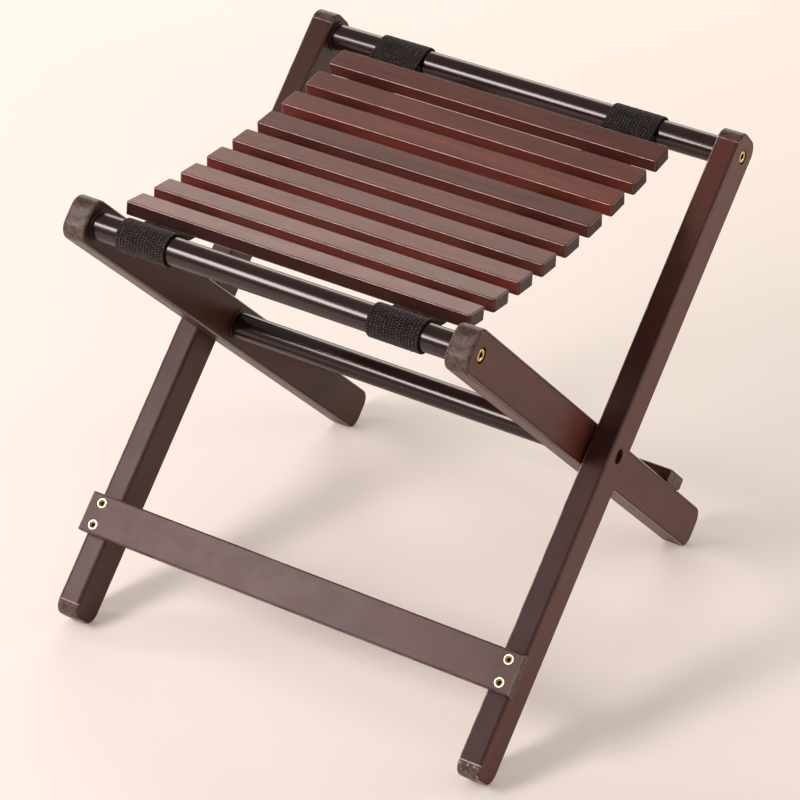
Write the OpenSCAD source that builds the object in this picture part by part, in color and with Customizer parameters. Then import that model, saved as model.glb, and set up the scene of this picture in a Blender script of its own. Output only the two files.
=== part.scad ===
// Folding camping stool: two crossed leg frames and a slatted seat hung on two webbing straps.
// X runs across the stool, Y to the rear and Z up.
// The origin is on the floor, midway between the two leg pivots.

/* [Legs] */
// Angle between each leg and the floor when the stool stands open, in degrees
leg_angle = 44.6; // [40:0.2:50]
// Length of a leg
leg_len = 550; // [510:2:600]
// Depth of a leg, seen from the side
leg_depth = 36; // [32:1:44]
// Thickness of a leg, across the stool
leg_thick = 20; // [18:1:26]
// Radius of the four corners of a leg, seen from the side
leg_end_r = 12; // [4:0.5:14]
// Width over the outer legs
frame_w = 400; // [380:2:460]
// Gap between an outer leg and the inner leg beside it
leg_gap = 2; // [1:0.5:4]
// Flat eased along the edges of the wooden bars
edge_ease = 1.2; // [0.4:0.2:2]

/* [Tubes] */
// Outside diameter of the three cross tubes
tube_d = 22; // [19:0.5:26]
// Wall of the tubes
tube_wall = 1.5; // [1:0.25:2.5]
// From the end of a leg to the centre of the tube at its top
tube_margin = 17; // [15:0.5:24]
// How far the flange of an end plug stands out past the tube, all round
plug_flange_over = 1.75; // [0.5:0.25:3]
// Thickness of the flange of an end plug
plug_flange_t = 1.6; // [1:0.1:1.8]
// Length of the end plug inside the tube
plug_len = 18; // [16:1:30]

/* [Bolts] */
// Diameter of the bolts that hold the tubes
bolt_d = 6; // [5:0.5:8]
// Diameter of a bolt head
bolt_head_d = 10; // [9:0.5:11.5]
// Height of a bolt head
bolt_head_h = 6; // [4:0.5:7]
// Width of the hexagon socket in a bolt head, across its flats
bolt_hex = 5; // [4:0.5:6]
// Diameter of the pocket that a bolt head lies in
pocket_d = 12.5; // [12:0.5:16]
// How far a tube bolt's head lies below the face of the leg
bolt_recess = 0.5; // [0:0.1:3]
// How far a pivot bolt's head lies below the face of the leg
pivot_recess = 3; // [1:0.5:6]
// How far a bolt reaches into the end plug
bolt_grip = 14; // [8:1:16]
// Clearance all round a pivot bolt in the leg that turns on it
pivot_clear = 0.08; // [0.02:0.01:0.1]
// Diameter of the washer between the legs at each pivot
washer_d = 20; // [14:1:30]
// Play between a washer or a pivot bolt's head and the outer leg
pivot_play = 0.1; // [0.05:0.05:0.3]

/* [Crossbars] */
// Width of a crossbar, along the leg
bar_w = 34; // [30:1:44]
// Thickness of a crossbar
bar_t = 11; // [8:0.5:16]
// From the pivot down the leg to the centre of a crossbar
bar_dist = 190; // [150:1:215]
// How far the front crossbar stands past the outer legs, at each end
bar_over = 3; // [0:0.5:8]
// Distance between the two screws at each end of a crossbar
screw_space = 19; // [14:0.5:22]
// From the outer face of a leg to the screws in it
screw_inset = 8.4; // [7:0.1:10]
// Diameter of the crossbar screws
screw_d = 5; // [4:0.5:6]
// Diameter of the countersunk screw heads
screw_head_d = 8.8; // [8:0.1:10]
// Width of the hexagon socket in a screw head, across its flats
screw_hex = 3; // [2:0.5:4]
// Outside diameter of the threaded inserts in the legs
insert_d = 7.5; // [7:0.1:8.5]
// Length of a threaded insert
insert_len = 12; // [8:1:15]

/* [Seat slats] */
// Length of a slat, across the stool
slat_len = 304; // [260:2:306]
// Width of a slat
slat_w = 22; // [14:0.5:24]
// Thickness of a slat
slat_t = 10; // [6:0.2:12]
// Radius of a slat's corners, seen from above
slat_corner_r = 2; // [0.5:0.5:4]
// Flat eased along the long edges of a slat
slat_ease = 1; // [0.4:0.1:2]
// From the rear tube to the middle of the rearmost slat, level
rear_room = 46; // [44:0.5:60]
// From the front tube to the middle of the foremost slat, level
front_room = 38; // [34:0.5:50]
// Height of the middle slat's top above the centres of the end tubes
seat_level = 0; // [-12:0.5:4]
// How far the middle slat hangs below the end slats
seat_sag = 9.2; // [0:0.2:18]

/* [Webbing straps] */
// Width of a strap
strap_w = 44; // [25:1:50]
// Thickness of the webbing
strap_t = 2.4; // [1.6:0.1:3]
// From the middle of the stool to the centre of a strap
strap_x = 110; // [70:1:120]
// Clearance between a strap loop and its tube
loop_clear = 0.3; // [0.2:0.05:1]
// Open length left in a strap at each line where it bends
flex_gap = 2; // [1.4:0.1:3]
// From the edge of an end slat to the line where the strap beyond it bends
bend_room = 4; // [3:0.5:6]
// Length of strap that is turned back and sewn under itself beside a tube
hem_len = 12; // [10:0.5:14]
// Diameter of the small screws that hold the slats on the straps
slat_screw_d = 3; // [2:0.5:4]
// Diameter of their flat heads
slat_screw_head_d = 6; // [5:0.5:8]
// Height of their flat heads
slat_screw_head_h = 0.8; // [0.5:0.1:1.2]
// Depth of these screws in the wood
slat_screw_grip = 6; // [4:0.5:7]
// Distance between the two screws of one strap under a slat
slat_screw_space = 24; // [12:1:36]

/* [Hidden] */
$fn = 64;
slat_count = 9;

wood_dark = "#5b443d";
wood_slat = "#6b574f";
tube_black = "#2b2728";
brass = "#c9a35c";
zinc = "#cfc9b8";
webbing_black = "#2e2b2b";
plastic_black = "#1c1b1b";

// Margins that only keep cuts clean and let threaded pieces slide in
cut = 1;
thread_room = 0.1;
hole_room = 0.4;

// Faces across the stool, to the right of the middle
outer_face = frame_w / 2;
outer_inside = outer_face - leg_thick;
inner_face = outer_inside - leg_gap;
inner_inside = inner_face - leg_thick;

// Lowest point of a leg below the pivot: the rounded corner of its lower end
corner_along = leg_len / 2 - leg_end_r;
corner_deep = leg_depth / 2 - leg_end_r;
pivot_h = corner_along * sin(leg_angle) + corner_deep * cos(leg_angle) + leg_end_r;

tube_dist = leg_len / 2 - tube_margin;
tube_y = tube_dist * cos(leg_angle);
tube_z = pivot_h + tube_dist * sin(leg_angle);
tube_bore_d = tube_d - 2 * tube_wall;

// Slats are numbered from the rear, and lie on a shallow curve
mid_slat = (slat_count + 1) / 2;
slat_pitch = (2 * tube_y - rear_room - front_room) / (slat_count - 1);
seat_mid_y = (front_room - rear_room) / 2;
seat_mid_z = tube_z + seat_level;
sag_k = seat_sag / pow((mid_slat - 1) * slat_pitch, 2);

function slat_y(i) = seat_mid_y + (mid_slat - i) * slat_pitch;
function slat_z(i) = seat_mid_z + sag_k * pow(slat_y(i) - seat_mid_y, 2);
function slat_tilt(i) = atan(2 * sag_k * (slat_y(i) - seat_mid_y));

// Point beside slat i: so far along it to the rear, and so far below its top, as [y, z]
function beside_slat(i, along, below) = [
    slat_y(i) + along * cos(slat_tilt(i)) + below * sin(slat_tilt(i)),
    slat_z(i) + along * sin(slat_tilt(i)) - below * cos(slat_tilt(i))
];

// The strap's middle line bends here, between an end slat and its tube
strap_mid = slat_t + strap_t / 2;
rear_bend = beside_slat(1, slat_w / 2 + bend_room, strap_mid);
front_bend = beside_slat(slat_count, -slat_w / 2 - bend_room, strap_mid);
loop_mid_r = tube_d / 2 + loop_clear + strap_t / 2;
// The straight stretch leaves the loop this much below its tangent, and so meets it cleanly
tail_sink = 0.05;

// Rectangle with eased corners
module eased_rect(w, h, ease) {
    x = w / 2;
    y = h / 2;
    polygon([
        [-x + ease, -y], [x - ease, -y], [x, -y + ease], [x, y - ease],
        [x - ease, y], [-x + ease, y], [-x, y - ease], [-x, -y + ease]
    ]);
}

module rounded_rect(w, h, r) {
    square([w - 2 * r, h], center = true);
    square([w, h - 2 * r], center = true);
    for (x = [-1, 1], y = [-1, 1])
        translate([x * (w / 2 - r), y * (h / 2 - r)]) circle(r);
}

// A flat outline in Y and Z, drawn out along X from its middle
module along_x(length) {
    rotate([90, 0, 90]) linear_extrude(length, center = true) children();
}

// Round rod along X
module x_rod(d, from, to) {
    translate([from, 0, 0]) rotate([0, 90, 0]) cylinder(d = d, h = to - from);
}

module x_tube(d, bore, from, to) {
    difference() {
        x_rod(d, from, to);
        x_rod(bore, from - cut, to + cut);
    }
}

// Everything is drawn for the right side, and mirrored for the left
module on_side(side) {
    mirror([side < 0 ? 1 : 0, 0, 0]) children();
}

module both_sides() {
    for (side = [-1, 1]) on_side(side) children();
}

// Outer frame: Y runs up the legs to the rear, Z out of their upper face
module in_outer_frame() {
    translate([0, 0, pivot_h]) rotate([leg_angle, 0, 0]) children();
}

// Inner frame: the same, with Y running up the legs to the front
module in_inner_frame() {
    translate([0, 0, pivot_h]) mirror([0, 1, 0]) rotate([leg_angle, 0, 0]) children();
}

module at_tube() {
    translate([0, tube_dist, 0]) children();
}

module at_slat(i) {
    translate([0, slat_y(i), slat_z(i)]) rotate([slat_tilt(i), 0, 0]) children();
}

// Straight bar with rounded ends and eased edges, centred on the pivot
module leg_blank() {
    r = leg_end_r;
    t = leg_thick / 2;
    e = edge_ease;
    rotate([90, 0, 0])
        linear_extrude(2 * corner_along, center = true) eased_rect(leg_thick, leg_depth, e);
    linear_extrude(2 * corner_deep, center = true) eased_rect(leg_thick, leg_len, e);
    for (y = [-1, 1], z = [-1, 1])
        translate([0, y * corner_along, z * corner_deep]) rotate([0, 90, 0]) rotate_extrude()
            polygon([[0, -t], [r - e, -t], [r, -t + e], [r, t - e], [r - e, t], [0, t]]);
}

// Cuts in a leg whose outer face is at x = face
module bolt_hole(face, hole_d, pocket) {
    x_rod(hole_d, face - leg_thick - cut, face + cut);
    x_rod(pocket_d, face - pocket, face + cut);
}

module insert_holes(face) {
    for (y = [-1, 1])
        translate([face - screw_inset, -bar_dist + y * screw_space / 2, 0]) {
            translate([0, 0, leg_depth / 2 - insert_len]) cylinder(d = insert_d, h = insert_len + cut);
            translate([0, 0, leg_depth / 2 - insert_len - 2 * cut])
                cylinder(d = screw_d + hole_room, h = insert_len);
        }
}

module outer_leg(side) {
    color(wood_dark) in_outer_frame() on_side(side) difference() {
        translate([outer_face - leg_thick / 2, 0, 0]) leg_blank();
        bolt_hole(outer_face, bolt_d + 2 * pivot_clear, pivot_recess + bolt_head_h + pivot_play);
        at_tube() bolt_hole(outer_face, bolt_d + hole_room, bolt_recess + bolt_head_h);
        insert_holes(outer_face);
    }
}

module inner_leg(side) {
    color(wood_dark) in_inner_frame() on_side(side) difference() {
        translate([inner_face - leg_thick / 2, 0, 0]) leg_blank();
        x_rod(bolt_d + hole_room, inner_inside - cut, inner_face + cut);
        at_tube() bolt_hole(inner_face, bolt_d + hole_room, bolt_recess + bolt_head_h);
        insert_holes(inner_face);
    }
}

// Tube between two legs whose inner faces are at x = face, with room for the plug flanges
module cross_tube(face) {
    half = face - plug_flange_t;
    color(tube_black) x_tube(tube_d, tube_bore_d, -half, half);
}

module tube_plugs(face) {
    color(plastic_black) both_sides() difference() {
        union() {
            x_rod(tube_d + 2 * plug_flange_over, face - plug_flange_t, face);
            x_rod(tube_bore_d, face - plug_flange_t - plug_len, face - plug_flange_t / 2);
        }
        x_rod(bolt_d + thread_room, face - plug_flange_t - plug_len - cut, face + cut);
    }
}

// Socket-head bolt along X, its head's top at x = top and its tip at x = tip
module socket_bolt(top, tip) {
    difference() {
        union() {
            x_rod(bolt_head_d, top - bolt_head_h, top);
            x_rod(bolt_d, tip, top - bolt_head_h / 2);
        }
        translate([top - bolt_head_h / 2, 0, 0]) rotate([0, 90, 0])
            cylinder(d = bolt_hex / cos(30), h = bolt_head_h, $fn = 6);
    }
}

module tube_bolts(outside, inside) {
    color(brass) both_sides() socket_bolt(outside - bolt_recess, inside - bolt_grip);
}

module rear_tube() {
    in_outer_frame() at_tube() cross_tube(outer_inside);
}

module rear_tube_plugs() {
    in_outer_frame() at_tube() tube_plugs(outer_inside);
}

module rear_tube_bolts() {
    in_outer_frame() at_tube() tube_bolts(outer_face, outer_inside);
}

module front_tube() {
    in_inner_frame() at_tube() cross_tube(inner_inside);
}

module front_tube_plugs() {
    in_inner_frame() at_tube() tube_plugs(inner_inside);
}

module front_tube_bolts() {
    in_inner_frame() at_tube() tube_bolts(inner_face, inner_inside);
}

module pivot_tube() {
    in_inner_frame() cross_tube(inner_inside);
}

module pivot_tube_plugs() {
    in_inner_frame() tube_plugs(inner_inside);
}

// The pivot bolts are tightened into the inner frame, and the outer legs turn on them
module pivot_bolts() {
    color(plastic_black) in_inner_frame() both_sides()
        socket_bolt(outer_face - pivot_recess, inner_inside - bolt_grip);
}

module pivot_washers() {
    color(plastic_black) in_inner_frame() both_sides()
        x_tube(washer_d, bolt_d + hole_room, inner_face, outer_inside - pivot_play);
}

// Crossbar on the upper faces of two legs whose outer faces are at x = face
module crossbar(face, over) {
    color(wood_dark) translate([0, -bar_dist, leg_depth / 2 + bar_t / 2]) difference() {
        intersection() {
            along_x(2 * (face + over)) eased_rect(bar_w, bar_t, edge_ease);
            rotate([90, 0, 0]) linear_extrude(bar_w + 2 * cut, center = true)
                eased_rect(2 * (face + over), bar_t, edge_ease);
        }
        for (x = [-1, 1], y = [-1, 1])
            translate([x * (face - screw_inset), y * screw_space / 2, 0]) {
                cylinder(d = screw_d + hole_room, h = bar_t + 2 * cut, center = true);
                translate([0, 0, bar_t / 2]) screw_cone(hole_room);
            }
    }
}

// Cone of a countersunk head, its wide end up at z = 0
module screw_cone(room) {
    wide = screw_head_d + room;
    deep = (screw_head_d - screw_d) / 2;
    translate([0, 0, -deep]) cylinder(d1 = screw_d + room, d2 = wide, h = deep);
    cylinder(d = wide, h = room);
}

module crossbar_screws(face) {
    head_h = (screw_head_d - screw_d) / 2;
    top = leg_depth / 2 + bar_t;
    color(zinc) for (x = [-1, 1], y = [-1, 1])
        translate([x * (face - screw_inset), -bar_dist + y * screw_space / 2, top]) difference() {
            union() {
                translate([0, 0, -head_h]) cylinder(d1 = screw_d, d2 = screw_head_d, h = head_h);
                translate([0, 0, -bar_t - insert_len]) cylinder(d = screw_d, h = bar_t + insert_len - head_h);
            }
            translate([0, 0, -head_h]) cylinder(d = screw_hex / cos(30), h = head_h + cut, $fn = 6);
        }
}

module crossbar_inserts(face) {
    color(brass) for (x = [-1, 1], y = [-1, 1])
        translate([x * (face - screw_inset), -bar_dist + y * screw_space / 2, leg_depth / 2 - insert_len])
            difference() {
                cylinder(d = insert_d, h = insert_len);
                translate([0, 0, -cut]) cylinder(d = screw_d + thread_room, h = insert_len + 2 * cut);
            }
}

module front_crossbar() {
    in_outer_frame() crossbar(outer_face, bar_over);
}

module front_crossbar_screws() {
    in_outer_frame() crossbar_screws(outer_face);
}

module front_crossbar_inserts() {
    in_outer_frame() crossbar_inserts(outer_face);
}

module rear_crossbar() {
    in_inner_frame() crossbar(inner_face, 0);
}

module rear_crossbar_screws() {
    in_inner_frame() crossbar_screws(inner_face);
}

module rear_crossbar_inserts() {
    in_inner_frame() crossbar_inserts(inner_face);
}

// Places of the small screws under a slat
module at_slat_screws(sides) {
    for (x = sides, s = [-1, 1])
        translate([x * strap_x + s * slat_screw_space / 2, 0, -slat_t]) children();
}

module slat(i) {
    color(wood_slat) at_slat(i) difference() {
        intersection() {
            translate([0, 0, -slat_t / 2]) along_x(slat_len) eased_rect(slat_w, slat_t, slat_ease);
            translate([0, 0, -slat_t / 2]) linear_extrude(slat_t + 2 * cut, center = true)
                rounded_rect(slat_len, slat_w, slat_corner_r);
        }
        at_slat_screws([-1, 1]) translate([0, 0, -cut])
            cylinder(d = slat_screw_d + thread_room, h = slat_screw_grip + 2 * cut);
    }
}

// Stretch of strap under slat i, from one bending line to the next
module strap_span(i, side) {
    half = slat_pitch / 2;
    end = slat_w / 2 + bend_room;
    rear = (i == 1 ? end : half) - flex_gap / 2;
    front = (i == slat_count ? end : half) - flex_gap / 2;
    color(webbing_black) at_slat(i) difference() {
        translate([side * strap_x - strap_w / 2, -front, -slat_t - strap_t])
            cube([strap_w, rear + front, strap_t]);
        at_slat_screws([side]) cylinder(d = slat_screw_d + thread_room, h = 4 * strap_t, center = true);
    }
}

module slat_screws(i) {
    color(zinc) at_slat(i) at_slat_screws([-1, 1]) {
        translate([0, 0, -strap_t - slat_screw_head_h]) cylinder(d = slat_screw_head_d, h = slat_screw_head_h);
        translate([0, 0, -strap_t - slat_screw_head_h / 2])
            cylinder(d = slat_screw_d, h = slat_screw_head_h / 2 + strap_t + slat_screw_grip);
    }
}

// Loop round a tube at [y, z] and the stretch of strap from its top to the bending line.
// facing is -1 where the seat lies in front of the tube and 1 where it lies behind.
module strap_loop(side, tube, bend, facing) {
    gap = bend - tube;
    reach = norm(gap);
    towards = atan2(gap[1], gap[0]);
    leave = towards + facing * acos(loop_mid_r / reach);
    tail_len = reach * sin(acos(loop_mid_r / reach)) - flex_gap / 2;
    color(webbing_black) translate([side * strap_x, tube[0], tube[1]]) along_x(strap_w) difference() {
        union() {
            circle(loop_mid_r + strap_t / 2);
            rotate(leave - 90) {
                translate([facing < 0 ? -tail_len : 0, loop_mid_r - strap_t / 2])
                    square([tail_len, strap_t - tail_sink]);
                translate([facing < 0 ? -hem_len : 0, loop_mid_r - 3 * strap_t / 2])
                    square([hem_len, 3 * strap_t / 2]);
            }
        }
        circle(loop_mid_r - strap_t / 2);
    }
}

module rear_loop(side) {
    strap_loop(side, [tube_y, tube_z], rear_bend, -1);
}

module front_loop(side) {
    strap_loop(side, [-tube_y, tube_z], front_bend, 1);
}

outer_leg(-1);  // outer_leg_left
outer_leg(1);  // outer_leg_right
rear_tube();
rear_tube_plugs();
rear_tube_bolts();
front_crossbar();
front_crossbar_screws();
front_crossbar_inserts();
inner_leg(-1);  // inner_leg_left
inner_leg(1);  // inner_leg_right
front_tube();
front_tube_plugs();
front_tube_bolts();
pivot_tube();
pivot_tube_plugs();
pivot_bolts();
pivot_washers();
rear_crossbar();
rear_crossbar_screws();
rear_crossbar_inserts();
for (i = [1:slat_count]) {
    slat(i);
    strap_span(i, -1);
    strap_span(i, 1);
    slat_screws(i);
}
rear_loop(-1);  // rear_loop_left
rear_loop(1);  // rear_loop_right
front_loop(-1);  // front_loop_left
front_loop(1);  // front_loop_right
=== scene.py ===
import math
import random
from functools import partial

import bpy
import numpy as np
from mathutils import Matrix, Vector


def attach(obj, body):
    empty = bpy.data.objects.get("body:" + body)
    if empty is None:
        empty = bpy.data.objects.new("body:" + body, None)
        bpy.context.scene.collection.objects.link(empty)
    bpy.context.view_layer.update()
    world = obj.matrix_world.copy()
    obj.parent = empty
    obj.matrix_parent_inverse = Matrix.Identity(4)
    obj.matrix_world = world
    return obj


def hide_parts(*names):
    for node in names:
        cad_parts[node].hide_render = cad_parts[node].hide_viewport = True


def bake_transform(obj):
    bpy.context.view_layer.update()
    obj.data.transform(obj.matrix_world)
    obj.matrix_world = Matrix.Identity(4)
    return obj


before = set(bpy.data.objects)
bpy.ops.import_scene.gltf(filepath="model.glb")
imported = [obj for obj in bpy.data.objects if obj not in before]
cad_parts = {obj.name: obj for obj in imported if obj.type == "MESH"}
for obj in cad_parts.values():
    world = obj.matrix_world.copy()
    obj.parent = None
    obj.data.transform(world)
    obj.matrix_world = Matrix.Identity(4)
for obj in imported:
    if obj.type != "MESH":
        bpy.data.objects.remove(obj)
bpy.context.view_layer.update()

# Sizes of the stool in metres: X runs across it, Y to the rear and Z up

LEG_ANGLE = math.radians(44.6)
LEG_LEN = 0.550
LEG_DEEP = 0.036
LEG_THICK = 0.020
LEG_END_R = 0.012
FRAME_W = 0.400
LEG_GAP = 0.002
LEG_EASE = 0.002

TUBE_R = 0.011
TUBE_WALL = 0.0015
TUBE_MARGIN = 0.017
FLANGE_R = TUBE_R + 0.00175
FLANGE_T = 0.0016
FLANGE_EASE = 0.0004
PLUG_LEN = 0.018

BOLT_R = 0.003
HEAD_R = 0.005
HEAD_H = 0.006
BOLT_HEX = 0.005
BOLT_TOP_EASE = 0.0006
BOLT_DISH_R = 0.0034
BOLT_DISH_LOW_R = 0.00225
BOLT_DISH_DEEP = 0.0006
BOLT_TURN = 0.4
POCKET_R = 0.00625
BOLT_RECESS = 0.0005
PIVOT_RECESS = 0.003
BOLT_GRIP = 0.014
WASHER_R = 0.010
PIVOT_PLAY = 0.0001

BAR_W = 0.034
BAR_T = 0.011
BAR_DIST = 0.190
BAR_OVER = 0.003
FRONT_BAR_EASE = 0.0012
REAR_BAR_EASE = 0.0024
BAR_END_EASE = 0.0006
BAR_END_GRAIN = 0.0012
SCREW_SPACE = 0.019
SCREW_INSET = 0.0084
SCREW_R = 0.0025
SCREW_HEAD_R = 0.0044
SCREW_HEX = 0.0025
SCREW_TOP_EASE = 0.00035
SCREW_DISH_R = 0.0031
SCREW_DISH_LOW_R = 0.00155
SCREW_DISH_DEEP = 0.0011
SCREW_DARK_FROM = 0.0008
INSERT_R = 0.00375
INSERT_LEN = 0.012

SLAT_COUNT = 9
SLAT_LEN = 0.304
SLAT_W = 0.022
SLAT_T = 0.010
SLAT_MORE = 0.001
SLAT_CORNER_R = 0.002
SLAT_EASE = 0.001
REAR_ROOM = 0.046
FRONT_ROOM = 0.038
SEAT_SAG = 0.0092

# How dark each slat is stained, from the rear to the front, and how far it leans and rises
SLAT_SHADES = (0.82, 1.05, 1.3, 0.8, 1.1, 1.08, 1.2, 1.1, 1.15)
SLAT_LEAN = [math.radians(angle) for angle in (1.5, 1.5, 2.0, 1.5, 1.0, 0.5, 0.5, 0.0, 0.0)]
SLAT_RISE = (0.0, 0.0, 0.0003, 0.0, 0.0, 0.0, 0.0, 0.0, 0.0)

# How much painted shade darkens the slats' long edges beside their tops, and those of the front slat, which
# lie in the front tube's shade, and how red the painted shade makes them
EDGE_PAINTED_SHADE = 0.76
FRONT_EDGE_PAINTED_SHADE = 0.22
EDGE_TINT = (1.0, 0.66, 0.46, 1)

# The two halves of the seat come together after this slat
OPEN_AFTER = 5

# How much painted shade darkens the legs on the stool's left and painted light lightens those on its right,
# and what sets off the right outer leg, which is the most worn and has painted shade on its front
LEFT_LEG_PAINTED_SHADE = 0.75
RIGHT_LEG_PAINTED_LIGHT = 1.35
WORST_LEG_PAINTED_SHADE = 0.55
OTHER_LEGS_SCUFFED = 0.3

STRAP_W = 0.044
STRAP_T = 0.0024
STRAP_X = 0.110
STRAP_SLIP = {-1: (-0.0026, -0.0017), 1: (-0.0044, 0.0)}
LOOP_CLEAR = 0.0003
BEND_ROOM = 0.004
SLAT_SCREW_R = 0.0015
SLAT_SCREW_HEAD_R = 0.003
SLAT_SCREW_HEAD_H = 0.0008
SLAT_SCREW_GRIP = 0.006
SLAT_SCREW_SPACE = 0.024
SLAT_SCREW_EASE = 0.00055
SLAT_SCREW_CROSS = (0.0034, 0.0007, 0.0010)

# Clearances, how far cutters reach past the faces they cut, and the easing of small rims
BORE_ROOM = 0.0002
PIVOT_BORE_ROOM = 0.00008
PRESS_ROOM = 0.00005
CUT_PAST = 0.002
CUT_ABOVE = 0.001
CUT_SKIM = 0.0001
RIM_EASE = 0.0003

OUTER_FACE = FRAME_W / 2
OUTER_INSIDE = OUTER_FACE - LEG_THICK
INNER_FACE = OUTER_INSIDE - LEG_GAP
INNER_INSIDE = INNER_FACE - LEG_THICK
CORNER_ALONG = LEG_LEN / 2 - LEG_END_R
CORNER_DEEP = LEG_DEEP / 2 - LEG_END_R
PIVOT_H = CORNER_ALONG * math.sin(LEG_ANGLE) + CORNER_DEEP * math.cos(LEG_ANGLE) + LEG_END_R
TUBE_DIST = LEG_LEN / 2 - TUBE_MARGIN
TUBE_Y = TUBE_DIST * math.cos(LEG_ANGLE)
TUBE_Z = PIVOT_H + TUBE_DIST * math.sin(LEG_ANGLE)

MID_SLAT = (SLAT_COUNT + 1) / 2
SLAT_PITCH = (2 * TUBE_Y - REAR_ROOM - FRONT_ROOM) / (SLAT_COUNT - 1)
SEAT_MID_Y = (FRONT_ROOM - REAR_ROOM) / 2
SAG_K = SEAT_SAG / ((MID_SLAT - 1) * SLAT_PITCH) ** 2
SLAT_THICK = SLAT_T + SLAT_MORE
STRAP_MID = SLAT_THICK + STRAP_T / 2
LOOP_R = TUBE_R + LOOP_CLEAR + STRAP_T / 2
SIDES = {"left": -1, "right": 1}

# Half of each board: along, across and into its grain
LEG_HALF = (LEG_LEN / 2, LEG_THICK / 2, LEG_DEEP / 2)
SLAT_HALF = (SLAT_LEN / 2, SLAT_W / 2, SLAT_THICK / 2)
FRONT_BAR_HALF = (OUTER_FACE + BAR_OVER, BAR_W / 2, BAR_T / 2)
REAR_BAR_HALF = (INNER_FACE, BAR_W / 2, BAR_T / 2)


def move(x, y, z):
    return Matrix.Translation((x, y, z))


def spin(angle, axis):
    return Matrix.Rotation(angle, 4, axis)


# Places of the two leg frames: Y runs up the legs and Z out of their upper faces
AT_PIVOT = move(0, 0, PIVOT_H)
OUTER_PLACE = AT_PIVOT @ spin(LEG_ANGLE, "X")
INNER_PLACE = AT_PIVOT @ spin(math.pi, "Z") @ spin(LEG_ANGLE, "X")


# Camera, light and floor

CAMERA_AZIMUTH = math.radians(31.127)
CAMERA_RISE = math.radians(32.804)
CAMERA_ROLL = math.radians(1.211)
CAMERA_DIST = 2.6519
CAMERA_LENS = 148.38
CAMERA_SENSOR = 36
CAMERA_REACH = 100
CAMERA_TARGET = Vector((0.0043, -0.0072, 0.18787))

FLOOR_SIZE = 30.0
FLOOR_COLOUR = (0.96, 0.88, 0.81, 1)
FLOOR_PATCH_SHADE = 0.985
AIR_COLOUR = (1.0, 0.95, 0.92, 1)
AIR_STRENGTH = 0.36
FLOOR_GLOW = 0.13
LAMP_AIM = Vector((0, 0, 0.25))

# Daylight: a window in front on the left, which the tubes mirror as a bright line, another on the left, a
# low pale sky behind, which the tops of the slats mirror, and a soft light on the right. Each lamp has its
# name, its direction from the stool, distance, size, glow, colour and roll
LAMPS = (
    ("window", (-0.4345, -0.7195, 0.5418), 2.2, (0.95, 0.46), 22.0, (1.0, 0.90, 0.91), math.radians(-35)),
    ("left window", (-0.93, -0.15, 0.33), 2.4, (1.2, 0.3), 9.0, (1.0, 0.93, 0.94), math.radians(-45)),
    ("low sky", (-0.493, 0.826, 0.31), 2.6, (2.2, 1.2), 3.05, (1.0, 0.92, 0.82), 0.0),
    ("right side", (0.80, 0.60, 0.10), 1.6, (0.9, 0.6), 3.6, (1.0, 0.93, 0.88), 0.0),
)


def make_camera():
    a, e, r = CAMERA_AZIMUTH, CAMERA_RISE, CAMERA_ROLL
    back = Vector((math.sin(a) * math.cos(e), -math.cos(a) * math.cos(e), math.sin(e)))
    level = Vector((math.cos(a), math.sin(a), 0))
    up = back.cross(level)
    across = level * math.cos(r) + up * math.sin(r)
    over = up * math.cos(r) - level * math.sin(r)
    place = Matrix((across, over, back)).transposed().to_4x4()
    place.translation = CAMERA_TARGET + back * CAMERA_DIST
    data = bpy.data.cameras.new("camera")
    data.sensor_width = CAMERA_SENSOR
    data.lens = CAMERA_LENS
    data.clip_end = CAMERA_REACH
    camera = bpy.data.objects.new("camera", data)
    bpy.context.collection.objects.link(camera)
    camera.matrix_world = place
    bpy.context.scene.camera = camera


def soft_lamp(name, towards, distance, size, glow, colour, roll):
    """A lit rectangle that faces the stool from that direction. glow is how bright its face looks."""
    data = bpy.data.lights.new(name, "AREA")
    data.shape = "RECTANGLE"
    data.size, data.size_y = size
    data.energy = glow * math.pi * size[0] * size[1]
    data.color = colour
    lamp = bpy.data.objects.new(name, data)
    bpy.context.collection.objects.link(lamp)
    towards = Vector(towards).normalized()
    lamp.location = LAMP_AIM + towards * distance
    facing = towards.to_track_quat("Z", "Y").to_matrix() @ Matrix.Rotation(roll, 3, "Z")
    lamp.rotation_euler = facing.to_euler()


def make_light():
    for lamp in LAMPS:
        soft_lamp(*lamp)
    world = bpy.data.worlds.new("air")
    bpy.context.scene.world = world
    world.use_nodes = True
    tree = world.node_tree
    tree.nodes.clear()
    sky = add(tree, "ShaderNodeBackground", {"Color": AIR_COLOUR, "Strength": AIR_STRENGTH})
    output = tree.nodes.new("ShaderNodeOutputWorld")
    tree.links.new(sky.outputs[0], output.inputs[0])


def make_floor():
    deselect()
    bpy.ops.mesh.primitive_plane_add(size=FLOOR_SIZE)
    floor = bpy.context.object
    floor.name = "floor"
    floor.data.materials.append(pale_floor())


# Short names for making shader nodes

def is_output(value):
    return isinstance(value, bpy.types.NodeSocket)


def fill(node, values):
    """Gives the node's sockets their values: numbers, colours or other nodes' outputs."""
    for socket, value in values.items():
        if is_output(value):
            node.id_data.links.new(value, node.inputs[socket])
        else:
            node.inputs[socket].default_value = value


def add(tree, kind, values=None, **settings):
    """A new node of that kind, with values by socket."""
    made = tree.nodes.new(kind)
    for name, setting in settings.items():
        setattr(made, name, setting)
    fill(made, values or {})
    return made


def after(kind, values, **settings):
    """A new node of that kind, in the tree of the outputs that are among its values."""
    tree = next(filter(is_output, values.values())).id_data
    return add(tree, kind, values, **settings)


def calc(how, *values, clamp=False):
    inputs = dict(enumerate(values))
    return after("ShaderNodeMath", inputs, operation=how, use_clamp=clamp).outputs[0]


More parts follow.
